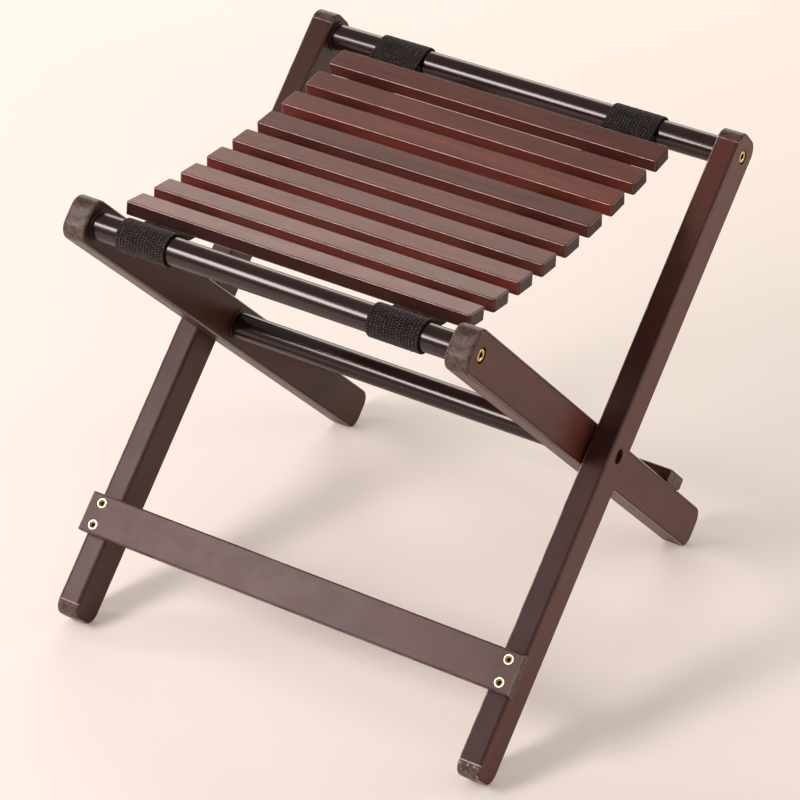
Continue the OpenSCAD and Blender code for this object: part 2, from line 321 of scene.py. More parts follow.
times, plus, minus, divided, lesser, greater = (
    partial(calc, how) for how in ("MULTIPLY", "ADD", "SUBTRACT", "DIVIDE", "MINIMUM", "MAXIMUM")
)


def vector_calc(how, *values):
    return after("ShaderNodeVectorMath", dict(enumerate(values)), operation=how).outputs[0]


def ramp(value, low, high, to_low=0.0, to_high=1.0):
    """value, carried smoothly from between low and high to between to_low and to_high."""
    inputs = {0: value, 1: low, 2: high, 3: to_low, 4: to_high}
    return after("ShaderNodeMapRange", inputs, interpolation_type="SMOOTHSTEP").outputs[0]


def mixed(share, first, second, how="MIX"):
    inputs = {0: share, 6: first, 7: second}
    return after("ShaderNodeMix", inputs, data_type="RGBA", blend_type=how).outputs[2]


def noise(vector, scale, detail=3.0, rough=0.55, bend=0.0):
    inputs = {"Vector": vector, "Scale": scale, "Detail": detail, "Roughness": rough, "Distortion": bend}
    return after("ShaderNodeTexNoise", inputs).outputs["Fac"]


def split(vector):
    return after("ShaderNodeSeparateXYZ", {0: vector}).outputs


def place_on_piece(tree):
    return add(tree, "ShaderNodeTexCoord").outputs["Object"]


def read_attribute(tree, name, output="Fac"):
    return add(tree, "ShaderNodeAttribute", attribute_name=name).outputs[output]


def new_group(name, vectors, numbers, outputs):
    """An empty node group that takes vectors and numbers, these with usual values, and puts out numbers."""
    group = bpy.data.node_groups.new(name, "ShaderNodeTree")
    for label in vectors:
        group.interface.new_socket(label, in_out="INPUT", socket_type="NodeSocketVector")
    for label, value in numbers.items():
        socket = group.interface.new_socket(label, in_out="INPUT", socket_type="NodeSocketFloat")
        socket.default_value = value
    for label in outputs:
        group.interface.new_socket(label, in_out="OUTPUT", socket_type="NodeSocketFloat")
    return group, group.nodes.new("NodeGroupInput").outputs, group.nodes.new("NodeGroupOutput")


def use_group(group, values):
    return after("ShaderNodeGroup", values, node_tree=group).outputs


# Effects that several materials share

def shift_by_tone(given, step):
    """The place on a board, shifted by the board's tone, so that no two boards are alike."""
    inputs = {0: step, "Scale": given["Tone"]}
    shift = after("ShaderNodeVectorMath", inputs, operation="SCALE").outputs[0]
    return vector_calc("ADD", given["Board"], shift)


def room_to_faces(given):
    """How far a point of a board lies from its ends, from its sides, and from its front or back."""
    room = vector_calc("SUBTRACT", given["Half"], vector_calc("ABSOLUTE", given["Board"]))
    return split(room)


def make_grain_group():
    """Long streaks of a planed board. Board is the place on it: along the grain, across it and into it."""
    group, given, out = new_group(
        "Wood grain", ["Board"], {"Tone": 0.0}, ["Fine", "Streaks", "Patches", "Pores"]
    )
    moved = shift_by_tone(given, (7.3, 3.1, 5.7))
    stretches = {
        "Fine": ((55, 2400, 2400), 4.0, 0.7, 0.0),
        "Streaks": ((9, 420, 420), 4.0, 0.6, 0.3),
        "Patches": ((7, 60, 60), 3.0, 0.5, 0.6),
        "Pores": ((120, 3600, 3600), 2.0, 0.5, 0.0),
    }
    for label, (stretch, detail, rough, bend) in stretches.items():
        stretched = vector_calc("MULTIPLY", moved, stretch)
        fill(out, {label: noise(stretched, 1.0, detail, rough, bend)})
    return group


def make_arris_group():
    """How near a point of a board lies to its arrises, from 0 to 1, and how worn the arris is there."""
    group, given, out = new_group(
        "Worn arris", ["Board", "Half"], {"Width": 0.002, "Start": 0.5, "Tone": 0.0}, ["Wear", "Near"]
    )
    to_end, to_side, to_face = room_to_faces(given)
    least = lesser(to_end, to_side)
    most = greater(to_end, to_side)
    gap = greater(least, lesser(most, to_face))
    closeness = minus(1.0, divided(gap, given["Width"]), clamp=True)
    moved = shift_by_tone(given, (1.9, 4.3, 2.7))
    stretched = vector_calc("MULTIPLY", moved, (60, 500, 500))
    broken = ramp(noise(stretched, 1.0, 4.0, 0.65), 0.38, 0.60)
    line = ramp(minus(closeness, given["Start"]), 0.0, 0.18)
    fill(out, {"Wear": times(line, broken), "Near": closeness})
    return group


def make_end_group():
    """Where end grain shows on a board whose ends are rounded that much, the thin rim where it begins, and
    how far past that rim a point lies."""
    group, given, out = new_group("Sawn end", ["Board", "Half"], {"Round": 0.001}, ["Face", "Rim", "Past"])
    to_end, to_side, _ = room_to_faces(given)
    past = minus(given["Round"], to_end)
    off_side = ramp(to_side, 0.00002, 0.0003)
    face = ramp(divided(past, given["Round"]), 0.04, 0.30)
    full = lesser(0.0015, times(given["Round"], 0.45))
    gone = ramp(divided(past, full), 1.0, 0.6)
    rim = times(ramp(past, -0.0001, 0.0003), gone)
    fill(out, {"Face": times(face, off_side), "Rim": times(rim, off_side), "Past": past})
    return group


def make_rub_group():
    """Faint rubbing and dust: fine scratches and soft clouds on any finish."""
    group, given, out = new_group(
        "Rubbed finish", ["Place"], {"Scratch scale": 900.0}, ["Clouds", "Scratches", "Chips"]
    )
    clouds = noise(given["Place"], 45.0, 4.0, 0.6)
    stretched = vector_calc("MULTIPLY", given["Place"], (1.0, 0.12, 1.0))
    scratches = noise(stretched, given["Scratch scale"], 3.0, 0.6)
    chips = noise(given["Place"], 420.0, 5.0, 0.7, 0.8)
    fill(out, {"Clouds": ramp(clouds, 0.35, 0.7), "Scratches": ramp(scratches, 0.55, 0.75), "Chips": chips})
    return group


GRAIN = make_grain_group()
ARRIS = make_arris_group()
SAWN_END = make_end_group()
RUBBED = make_rub_group()


# Finishes

def new_finish(name):
    finish = bpy.data.materials.new(name)
    finish.use_nodes = True
    tree = finish.node_tree
    tree.nodes.clear()
    shader = tree.nodes.new("ShaderNodeBsdfPrincipled")
    output = tree.nodes.new("ShaderNodeOutputMaterial")
    tree.links.new(shader.outputs[0], output.inputs[0])
    return finish, tree, shader


def feed(shader, **values):
    """Gives the shader's sockets their values, with underscores for spaces in their names."""
    fill(shader, {name.replace("_", " "): value for name, value in values.items()})


def bump(height, depth, strength=1.0):
    inputs = {"Height": height, "Distance": depth, "Strength": strength}
    return after("ShaderNodeBump", inputs).outputs[0]


def stained_wood(name, half, end_round, body, deep, rosy, olive, end_colour, wear_and_highlight, unlit_side_wear, pale_line_from,
                 arris_width, figure, shine):
    """Planed wood, stained dark and lacquered. half is half the board: along, across and into the grain.
    figure is how strongly the grain shows. wear_and_highlight is the pale colour of rubbed arrises, rims and
    scrapes, and also of a painted highlight on the arrises on one side; unlit_side_wear is how rubbed the
    arrises are on the other side, and pale_line_from how near the arris the pale line begins, as a share of
    arris_width."""
    finish, tree, shader = new_finish(name)
    board = read_attribute(tree, "board", "Vector")
    along, across, into = split(board)
    tone, scuffed, shade, painted_front_shade, edge = (
        read_attribute(tree, mark) for mark in ("tone", "scuffed", "shade", "painted_front_shade", "edge")
    )
    grain = use_group(GRAIN, {"Board": board, "Tone": tone})
    arris = use_group(
        ARRIS, {"Board": board, "Half": half, "Width": arris_width, "Start": pale_line_from, "Tone": tone}
    )
    end = use_group(SAWN_END, {"Board": board, "Half": half, "Round": end_round})
    rubbed = use_group(RUBBED, {"Place": board})

    # Colour: the grain, how dark the stain is with painted shade and light on some boards, a line of painted
    # shade inside the arrises, and their pale stretches of wear with a painted highlight
    streaks = ramp(grain["Streaks"], 0.30, 0.62, 1 - figure, 1.0)
    colour = mixed(streaks, deep, body)
    patches = ramp(grain["Patches"], 0.46, 0.66, 0.0, figure)
    colour = mixed(patches, colour, rosy)
    dull = ramp(grain["Patches"], 0.48, 0.32, 0.0, figure)
    colour = mixed(dull, colour, olive)
    fine = ramp(grain["Fine"], 0.32, 0.68, 1 - 0.42 * figure, 1 + 0.32 * figure)
    # Painted shade on the right outer leg's front face, full from a little above the pivot down to the foot
    # and fading out higher up
    on_front = ramp(into, half[2] - 0.0006, half[2] - 0.0002)
    on_front = times(on_front, ramp(along, 0.20, 0.02))
    shaded_front = times(on_front, painted_front_shade)
    # shade darkens or lightens the colour: the slats' own tones, and painted shade and light on the legs and
    # the slats' long edges; shaded_front adds painted shade on a front face
    fine = times(times(fine, shade), minus(1.0, shaded_front))
    fine = after("ShaderNodeCombineColor", {0: fine, 1: fine, 2: fine}).outputs[0]
    colour = mixed(1.0, colour, fine, "MULTIPLY")
    pores = ramp(grain["Pores"], 0.60, 0.72, 0.0, 0.8 * figure)
    colour = mixed(pores, colour, deep)
    # Painted shade on the slats' long edges, redder there
    colour = mixed(edge, colour, EDGE_TINT, "MULTIPLY")
    # A line of painted shade just inside the arrises, beside their painted highlight
    inside = ramp(arris["Near"], 0.05, 0.25)
    inside = times(inside, ramp(arris["Near"], 0.60, 0.45))
    colour = mixed(times(inside, 0.8), colour, deep)
    # Pale line on the arrises: wear, with a painted highlight on the side that faces the light
    wear_and_highlight_line = times(arris["Wear"], ramp(across, 0.001, -0.001, unlit_side_wear, 0.9))
    colour = mixed(wear_and_highlight_line, colour, wear_and_highlight)

    # Ends: blotted end grain, a bare rim where it begins, and scrapes at the foot
    blots = noise(board, 190.0, 4.0, 0.65, 0.6)
    blots = plus(times(blots, 0.6), times(rubbed["Chips"], 0.4))
    mottled = mixed(ramp(blots, 0.42, 0.58, 0.0, 0.8), end_colour, deep)
    colour = mixed(times(end["Face"], 0.95), colour, mottled)
    scuffs = times(scuffed, ramp(along, -0.05, -0.15))
    rim = times(end["Rim"], ramp(scuffs, 0.0, 1.0, 0.55, 1.0))
    rim = times(rim, ramp(rubbed["Chips"], 0.66, 0.48))
    scrapes = ramp(rubbed["Chips"], ramp(end["Past"], 0.0005, 0.006, 0.46, 0.58), 0.62)
    scrapes = times(scrapes, times(end["Face"], scuffs))
    colour = mixed(greater(rim, scrapes), colour, wear_and_highlight)

    # Lacquer, which is smoother and thicker at the arrises
    rough = ramp(rubbed["Clouds"], 0.0, 1.0, 0.36 - 0.02 * figure, 0.36 + 0.04 * figure)
    rough = plus(rough, times(end["Face"], 0.04))
    rough = plus(rough, times(pores, 0.15))
    rough = minus(rough, times(arris["Near"], 0.14), clamp=True)
    matt = greater(times(edge, 0.48), times(shaded_front, 0.26))
    matt = greater(matt, times(inside, 0.35))
    rough = plus(rough, matt, clamp=True)
    glaze = ramp(arris["Near"], 0.25, 0.75, 0.0, 0.9)
    relief = plus(times(grain["Fine"], 0.7), times(grain["Streaks"], 0.5))
    relief = minus(relief, times(pores, 0.5))
    feed(
        shader,
        Base_Color=colour, Roughness=rough, Specular_IOR_Level=shine,
        Coat_Weight=glaze, Coat_Roughness=0.18,
        Normal=bump(relief, 0.00005 * figure, 0.8),
    )
    return finish


def gloss_black():
    """Near-black brown enamel on the steel tubes, with a faint orange-peel surface, duller seen edge-on."""
    finish, tree, shader = new_finish("black enamel")
    place = place_on_piece(tree)
    rubbed = use_group(RUBBED, {"Place": place, "Scratch scale": 700.0})
    peel = noise(place, 900.0, 2.0, 0.5)
    colour = mixed(rubbed["Clouds"], (0.018, 0.005, 0.004, 1), (0.028, 0.008, 0.006, 1))
    rough = ramp(rubbed["Scratches"], 0.0, 1.0, 0.22, 0.24)
    edge_on = add(tree, "ShaderNodeLayerWeight", {"Blend": 0.5}).outputs["Facing"]
    rough = plus(rough, ramp(edge_on, 0.55, 0.9, 0.0, 0.3))
    feed(
        shader,
        Base_Color=colour, Roughness=rough, Specular_IOR_Level=0.32,
        Coat_Weight=ramp(edge_on, 0.55, 0.9, 0.3, 0.0), Coat_Roughness=0.14,
        Normal=bump(peel, 0.000001, 0.2),
    )
    return finish


SOCKET_PAINTED_SHADE = (0.030, 0.016, 0.010, 1)


def metal(name, bright, dull, rough, dirt):
    """Turned metal with fine marks and a little dirt, and painted shade in its sockets."""
    finish, tree, shader = new_finish(name)
    place = place_on_piece(tree)
    rubbed = use_group(RUBBED, {"Place": place, "Scratch scale": 2600.0})
    grime = noise(place, 800.0, 4.0, 0.6)
    colour = mixed(rubbed["Clouds"], bright, dull)
    colour = mixed(ramp(grime, 0.56, 0.72, 0.0, 0.6), colour, dirt)
    socket = read_attribute(tree, "socket")
    # Painted shade in the sockets
    colour = mixed(socket, colour, SOCKET_PAINTED_SHADE)
    coarse = plus(rough, times(rubbed["Scratches"], 0.18))
    coarse = plus(coarse, times(socket, 0.3))
    feed(
        shader,
        Base_Color=colour, Metallic=1.0, Roughness=coarse,
        Normal=bump(grime, 0.00002, 0.4),
    )
    return finish


def black_plastic():
    finish, tree, shader = new_finish("black plastic")
    place = place_on_piece(tree)
    rubbed = use_group(RUBBED, {"Place": place})
    stipple = noise(place, 2600.0, 2.0, 0.5)
    colour = mixed(rubbed["Clouds"], (0.010, 0.009, 0.009, 1), (0.018, 0.016, 0.016, 1))
    feed(
        shader,
        Base_Color=colour, Roughness=ramp(rubbed["Clouds"], 0.0, 1.0, 0.42, 0.55),
        Normal=bump(stipple, 0.00002, 0.5),
    )
    return finish


def woven_cotton(name, low, high):
    """Coarse black webbing: the ropes are in the mesh, their yarns are here, with a painted highlight on the
    ropes' crests and painted shade in the grooves.
    """
    finish, tree, shader = new_finish(name)
    weave = read_attribute(tree, "weave", "Vector")
    crest = read_attribute(tree, "crest")
    yarn = noise(vector_calc("MULTIPLY", weave, (1500, 4200, 1500)), 1.0, 3.0, 0.6, 0.4)
    fuzz = noise(weave, 2200.0, 3.0, 0.65)
    fade = noise(weave, 60.0, 3.0, 0.6)
    # Painted highlight on the ropes' crests and yarns, painted shade in the grooves
    lit = times(ramp(crest, 0.25, 1.0), ramp(yarn, 0.30, 0.72))
    lit = times(lit, ramp(fade, 0.3, 0.7, 0.7, 1.1), clamp=True)
    lit = times(lit, ramp(fuzz, 0.40, 0.58, 0.25, 1.3), clamp=True)
    colour = mixed(lit, low, high)
    clumps = noise(weave, 950.0, 2.0, 0.6, 0.5)
    height = plus(yarn, times(fuzz, 0.7))
    height = plus(height, times(clumps, 2.2))
    feed(
        shader,
        Base_Color=colour, Roughness=ramp(fuzz, 0.2, 0.8, 0.78, 0.95),
        Specular_IOR_Level=0.2, Sheen_Weight=0.12, Sheen_Roughness=0.5,
        Normal=bump(height, 0.00018, 0.9),
    )
    return finish


def pale_floor():
    """A plain pale floor, lifted a little for the camera."""
    finish, tree, shader = new_finish("pale floor")
    place = place_on_piece(tree)
    tint = noise(place, 3.0, 2.0, 0.5)
    patches = tuple(c * FLOOR_PATCH_SHADE for c in FLOOR_COLOUR[:3])
    colour = mixed(tint, FLOOR_COLOUR, (*patches, 1))
    seen = add(tree, "ShaderNodeLightPath").outputs["Is Camera Ray"]
    feed(
        shader,
        Base_Color=colour, Roughness=0.85, Specular_IOR_Level=0.2,
        Emission_Color=colour, Emission_Strength=times(seen, FLOOR_GLOW),
    )
    return finish


BAR_ARRISES = {"end_round": BAR_END_GRAIN, "arris_width": 0.0015, "pale_line_from": 0.6}


def frame_wood(name, half, end_round, arris_width, pale_line_from):
    return stained_wood(
        name, half, end_round,
        body=(0.078, 0.019, 0.0110, 1),
        deep=(0.040, 0.0085, 0.005, 1),
        rosy=(0.100, 0.021, 0.013, 1),
        olive=(0.060, 0.023, 0.009, 1),
        end_colour=(0.125, 0.088, 0.072, 1),
        wear_and_highlight=(0.52, 0.38, 0.34, 1), unlit_side_wear=0.0, pale_line_from=pale_line_from, arris_width=arris_width,
        figure=0.42, shine=0.30,
    )


LEG_WOOD = frame_wood("leg wood", LEG_HALF, end_round=LEG_END_R, arris_width=0.0030, pale_line_from=0.48)
FRONT_BAR_WOOD = frame_wood("front crossbar wood", FRONT_BAR_HALF, **BAR_ARRISES)
REAR_BAR_WOOD = frame_wood("rear crossbar wood", REAR_BAR_HALF, **BAR_ARRISES)
SLAT_WOOD = stained_wood(
    "slat wood", SLAT_HALF, SLAT_EASE,
    body=(0.138, 0.029, 0.0170, 1),
    deep=(0.066, 0.012, 0.007, 1),
    rosy=(0.172, 0.034, 0.021, 1),
    olive=(0.105, 0.034, 0.018, 1),
    end_colour=(0.050, 0.028, 0.019, 1),
    wear_and_highlight=(0.50, 0.24, 0.19, 1), unlit_side_wear=0.3, pale_line_from=0.58, arris_width=0.0015,
    figure=0.65, shine=0.34,
)
ENAMEL = gloss_black()
PLASTIC = black_plastic()
BRASS = metal("brass", (0.80, 0.56, 0.20, 1), (0.70, 0.46, 0.15, 1), 0.24, (0.20, 0.12, 0.05, 1))
PALE_ZINC = metal("yellow zinc", (0.52, 0.49, 0.37, 1), (0.47, 0.42, 0.26, 1), 0.40, (0.24, 0.20, 0.12, 1))
DARK_STEEL = metal(
    "dark steel", (0.05, 0.045, 0.045, 1), (0.035, 0.03, 0.03, 1), 0.38, (0.02, 0.02, 0.02, 1)
)
WEBBING = woven_cotton("black webbing", (0.004, 0.003, 0.003, 1), (0.270, 0.185, 0.170, 1))


# Modelling helpers

def deselect():
    bpy.ops.object.select_all(action="DESELECT")


def open_edit():
    bpy.ops.object.mode_set(mode="EDIT")


def close_edit():
    bpy.ops.object.mode_set(mode="OBJECT")


def discard(*pieces):
    for piece in pieces:
        bpy.data.objects.remove(piece)


def only(piece):
    """Selects that piece alone and makes it the active one."""
    deselect()
    piece.select_set(True)
    bpy.context.view_layer.objects.active = piece


def settle():
    """Puts the new piece's place and size into its mesh."""
    bpy.ops.object.transform_apply(location=True, rotation=True, scale=True)
    return bpy.context.object


def block(size):
    deselect()
    bpy.ops.mesh.primitive_cube_add(size=1)
    bpy.context.object.scale = size
    return settle()


def rod(radius, bottom, top, sides=48, centre=(0, 0), ends="NGON"):
    """A round rod along Z."""
    deselect()
    bpy.ops.mesh.primitive_cylinder_add(
        vertices=sides, radius=radius, depth=top - bottom, end_fill_type=ends,
        location=(*centre, (bottom + top) / 2),
    )
    return settle()


def cone(low_radius, high_radius, bottom, top, sides=48, centre=(0, 0)):
    deselect()
    bpy.ops.mesh.primitive_cone_add(
        vertices=sides, radius1=low_radius, radius2=high_radius, depth=top - bottom,
        location=(*centre, (bottom + top) / 2),
    )
    return settle()


def lay_along_x(piece):
    """Turns a piece that stands along Z so that its top points along +X."""
    piece.data.transform(spin(math.pi / 2, "Y"))
    return piece


def pick(piece, kind, wanted):
    """Opens the piece for editing, with only its edges or faces selected that wanted says."""
    only(piece)
    open_edit()
    bpy.ops.mesh.select_mode(type=kind)
    bpy.ops.mesh.select_all(action="DESELECT")
    close_edit()
    mesh = piece.data
    if kind == "EDGE":
        for edge in mesh.edges:
            edge.select = wanted(*(mesh.vertices[i].co for i in edge.vertices))
    else:
        for face in mesh.polygons:
            face.select = wanted(face.center, face.normal)
    open_edit()


def draw_out(piece, reach, inset=0.0):
    """Draws out the piece's flat end along Z by reach, downwards below zero, narrowed by inset before."""
    way = math.copysign(1, reach)
    pick(piece, "FACE", lambda centre, normal: way * normal.z > 0.9)
    if inset:
        bpy.ops.mesh.inset(thickness=inset)
    bpy.ops.mesh.extrude_region_move(TRANSFORM_OT_translate={"value": (0, 0, reach)})
    close_edit()


def round_edges(piece, wanted, radius, segments):
    pick(piece, "EDGE", wanted)
    bpy.ops.mesh.bevel(offset=radius, segments=segments, affect="EDGES", clamp_overlap=True)
    close_edit()


def change(piece, kind, **settings):
    """Changes the piece's mesh by a modifier of that kind."""
    only(piece)
    modifier = piece.modifiers.new(kind, kind)
    for name, setting in settings.items():
        setattr(modifier, name, setting)
    bpy.ops.object.modifier_apply(modifier=modifier.name)


def cut(piece, *cutters):
    for cutter in cutters:
        change(piece, "BOOLEAN", operation="DIFFERENCE", solver="EXACT", object=cutter)
        discard(cutter)


def join(pieces):
    only(pieces[0])
    for piece in pieces[1:]:
        piece.select_set(True)
    bpy.ops.object.join()
    return bpy.context.object


def near(value, target, room=1e-5):
    return abs(value - target) < room


def on_circle(point, radius, centre=(0, 0)):
    """Whether the point lies on that circle, by its first two coordinates."""
    return near(math.hypot(point[0] - centre[0], point[1] - centre[1]), radius, 1e-4)


def smooth(piece, degrees=38):
    """Smooth shading that keeps flat faces flat."""
    only(piece)
    bpy.ops.object.shade_smooth_by_angle(angle=math.radians(degrees))
    change(piece, "WEIGHTED_NORMAL", keep_sharp=True)


def note(piece, name, values, kind="FLOAT", where="POINT"):
    """Notes values on the piece's points or faces, which its finish reads."""
    field = "vector" if kind == "FLOAT_VECTOR" else "value"
    piece.data.attributes.new(name, kind, where).data.foreach_set(field, values)


def note_board(piece, along, tone, scuffed=0.0, shade=1.0, painted_front_shade=0.0, wear_and_highlight_side=1):
    """Notes on each point its place on the board, and the board's own tone, scuffing and shade, which is
    partly the stain's own darkness and partly painted shade and light, and how much painted shade darkens
    its front face. The arrises get most of their pale line, rubbed and with a painted highlight, where the
    place across the board is below zero, or above it with a wear_and_highlight_side of -1."""
    order = {"X": (0, 1, 2), "Y": (1, 0, 2)}[along]
    count = len(piece.data.vertices)
    points = np.zeros(count * 3)
    piece.data.vertices.foreach_get("co", points)
    board = points.reshape(-1, 3)[:, order] * (1, wear_and_highlight_side, 1)
    note(piece, "board", board.ravel(), "FLOAT_VECTOR")
    notes = {"tone": tone, "scuffed": scuffed, "shade": shade, "painted_front_shade": painted_front_shade}
    for name, value in notes.items():
        note(piece, name, [value] * count)


def finish_piece(piece, name, material, body, place, nodes):
    """Names the piece, puts it in place, gives it its finish and has it ride on its body."""
    piece.name = name
    piece.data.name = name
    piece.data.transform(place)
    piece.data.materials.clear()
    piece.data.materials.append(material)
    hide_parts(*nodes)
    if body:
        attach(piece, body)


def copy_of(piece):
    made = piece.copy()
    made.data = piece.data.copy()
    bpy.context.collection.objects.link(made)
    return made


# Legs

def is_corner(a, b):
    """An edge across the leg, at one of the corners of its ends."""
    return near(a.y, b.y) and near(a.z, b.z) and near(abs(a.y), LEG_LEN / 2)


def is_outline(a, b):
    """An edge of a side face's outline."""
    return near(a.x, b.x) and near(abs(a.x), LEG_THICK / 2)


def x_hole(radius, side, depth, along):
    """A round cutter into the leg's side face from side, at that distance along the leg."""
    cutter = lay_along_x(rod(radius, LEG_THICK / 2 - depth, LEG_THICK / 2 + CUT_PAST))
    if side < 0:
        cutter.data.transform(spin(math.pi, "Z"))
    cutter.data.transform(move(0, along, 0))
    return cutter


def leg(outer, side):
    """A straight bar with rounded ends. side says which side of the bar faces outwards."""
    bar = block((LEG_THICK, LEG_LEN, LEG_DEEP))
    round_edges(bar, is_corner, LEG_END_R, 12)
    round_edges(bar, is_outline, LEG_EASE, 5)
    through = LEG_THICK + CUT_PAST
    cut(bar, x_hole(POCKET_R, side, BOLT_RECESS + HEAD_H, TUBE_DIST))
    cut(bar, x_hole(BOLT_R + BORE_ROOM, side, through, TUBE_DIST))
    pockets = [TUBE_DIST]
    if outer:
        cut(bar, x_hole(POCKET_R, side, PIVOT_RECESS + HEAD_H + PIVOT_PLAY, 0))
        pockets.append(0)
    cut(bar, x_hole(BOLT_R + PIVOT_BORE_ROOM, side, through, 0))
    for s in (-1, 1):
        x = side * (LEG_THICK / 2 - SCREW_INSET)
        y = -BAR_DIST + s * SCREW_SPACE / 2
        cut(bar, rod(INSERT_R, LEG_DEEP / 2 - INSERT_LEN, LEG_DEEP / 2 + CUT_PAST, centre=(x, y)))

    def on_rim(point):
        on_face = near(point.x, side * LEG_THICK / 2)
        return on_face and any(on_circle(point.yz, POCKET_R, centre=(y, 0)) for y in pockets)

    round_edges(bar, lambda a, b: on_rim(a) and on_rim(b), RIM_EASE, 2)
    smooth(bar)
    scuffed_and_shaded = outer and side > 0
    on_left = side < 0 if outer else side > 0
    # Each leg has a tone of its own, which shifts its grain
    note_board(
        bar, "Y", tone=0.37 * (2 if outer else 5) + 0.91 * side,
        scuffed=1.0 if scuffed_and_shaded else OTHER_LEGS_SCUFFED,
        # Painted shade on the legs on the stool's left, painted light on those on its right
        shade=LEFT_LEG_PAINTED_SHADE if on_left else RIGHT_LEG_PAINTED_LIGHT,
        # Painted shade on the front of the right outer leg
        painted_front_shade=WORST_LEG_PAINTED_SHADE if scuffed_and_shaded else 0.0,
        # The pale line, wear with a painted highlight, goes on the arrises that face the stool's left
        wear_and_highlight_side=1 if outer else -1,
    )
    return bar


def make_legs():
    for word, side in SIDES.items():
        rows = (("outer", OUTER_PLACE, OUTER_FACE, side), ("inner", INNER_PLACE, INNER_FACE, -side))
        for kind, frame_place, face, out in rows:
            bar = leg(kind == "outer", out)
            place = frame_place @ move(out * (face - LEG_THICK / 2), 0, 0)
            finish_piece(
                bar, f"{kind}_leg_bar_{word}", LEG_WOOD, f"{kind}_frame", place,
                [f"{kind}_leg_{word}"],
            )


# Crossbars and their screws

def countersink(x, y):
    """Cutters for one countersunk screw in a crossbar."""
    low_r = SCREW_R + BORE_ROOM
    deep = SCREW_HEAD_R - SCREW_R
    top = BAR_T / 2
    past = 0.0005
    hole = rod(low_r, -BAR_T, BAR_T, centre=(x, y))
    seat = cone(low_r, SCREW_HEAD_R + BORE_ROOM + past, top - deep, top + past, centre=(x, y))
    return hole, seat


def crossbar(face, over, ease, tone):
    half = face + over
    bar = block((2 * half, BAR_W, BAR_T))
    round_edges(bar, lambda a, b: not near(a.x, b.x), ease, 4)
    round_edges(bar, lambda a, b: near(abs(a.x), half) and near(a.x, b.x), BAR_END_EASE, 2)
    for x in (-1, 1):
        for y in (-1, 1):
            cut(bar, *countersink(x * (face - SCREW_INSET), y * SCREW_SPACE / 2))
    smooth(bar)
    note_board(bar, "X", tone)
    return bar


def mark_socket_shade(piece, across, below):
    """Marks the walls and the floor of a socket along Z, so that painted shade darkens them."""
    just_past_corners = 0.6
    reach = across * just_past_corners
    inside = [math.hypot(f.center.x, f.center.y) < reach and f.center.z < below for f in piece.data.polygons]
    note(piece, "socket", [float(v) for v in inside], where="FACE")


def hex_cutter(across, bottom, top):
    return rod(across / math.sqrt(3), bottom, top, sides=6)


def crossbar_screw():
    """Countersunk screw, its top at z = 0, with a hexagon socket in a shallow cone."""
    deep = SCREW_HEAD_R - SCREW_R
    head = cone(SCREW_R, SCREW_HEAD_R, -deep, 0)
    draw_out(head, -(BAR_T + INSERT_LEN - deep))
    round_edges(head, lambda a, b: near(a.z, 0) and near(b.z, 0), SCREW_TOP_EASE, 3)
    cut(head, cone(SCREW_DISH_LOW_R, SCREW_DISH_R, -SCREW_DISH_DEEP, CUT_SKIM))
    cut(head, hex_cutter(SCREW_HEX, -deep, CUT_ABOVE))
    smooth(head, 30)
    mark_socket_shade(head, SCREW_HEX, -SCREW_DARK_FROM)
    return head


def make_crossbars():
    screw = crossbar_screw()
    rows = (
        ("front", "outer_frame", OUTER_PLACE, OUTER_FACE, BAR_OVER, FRONT_BAR_WOOD, FRONT_BAR_EASE, 1.7),
        ("rear", "inner_frame", INNER_PLACE, INNER_FACE, 0, REAR_BAR_WOOD, REAR_BAR_EASE, 4.4),
    )
    for word, body, frame_place, face, over, wood, ease, tone in rows:
        bar = crossbar(face, over, ease, tone)
        place = frame_place @ move(0, -BAR_DIST, (LEG_DEEP + BAR_T) / 2)
        finish_piece(bar, f"{word}_crossbar_board", wood, body, place, [f"{word}_crossbar"])
        for x in (-1, 1):
            for y in (-1, 1):
                made = copy_of(screw)
                spot = (x * (face - SCREW_INSET), -BAR_DIST + y * SCREW_SPACE / 2, LEG_DEEP / 2 + BAR_T)
                as_driven = spin(math.radians(17 + 40 * x + 23 * y), "Z")
                end = "a" if x < 0 else "b"
                row = "low" if y < 0 else "high"
                finish_piece(
                    made, f"{word}_crossbar_screw_{end}_{row}", PALE_ZINC, body,
                    frame_place @ move(*spot) @ as_driven,
                    [f"{word}_crossbar_screws"],
                )
    discard(screw)


# Tubes, plugs, bolts and washers

def cross_tube(face):
    half = face - FLANGE_T
    tube = rod(TUBE_R, -half, half, sides=96, ends="NOTHING")
    change(tube, "SOLIDIFY", thickness=TUBE_WALL, offset=-1)
    round_edges(tube, lambda a, b: near(abs(a.z), half) and near(a.z, b.z), RIM_EASE, 2)
    smooth(tube)
    return lay_along_x(tube)


def end_plug():
    """Plug whose flange lies between x = -FLANGE_T and x = 0, with its stem towards -X."""
    bore_r = TUBE_R - TUBE_WALL
    plug = rod(FLANGE_R, -FLANGE_T, 0, sides=96)
    draw_out(plug, -PLUG_LEN, inset=FLANGE_R - bore_r + PRESS_ROOM)
    round_edges(plug, lambda a, b: on_circle(a, FLANGE_R) and near(a.z, b.z), FLANGE_EASE, 3)
    cut(plug, rod(BOLT_R + PRESS_ROOM, -2 * PLUG_LEN, CUT_ABOVE))
    smooth(plug)
    return lay_along_x(plug)


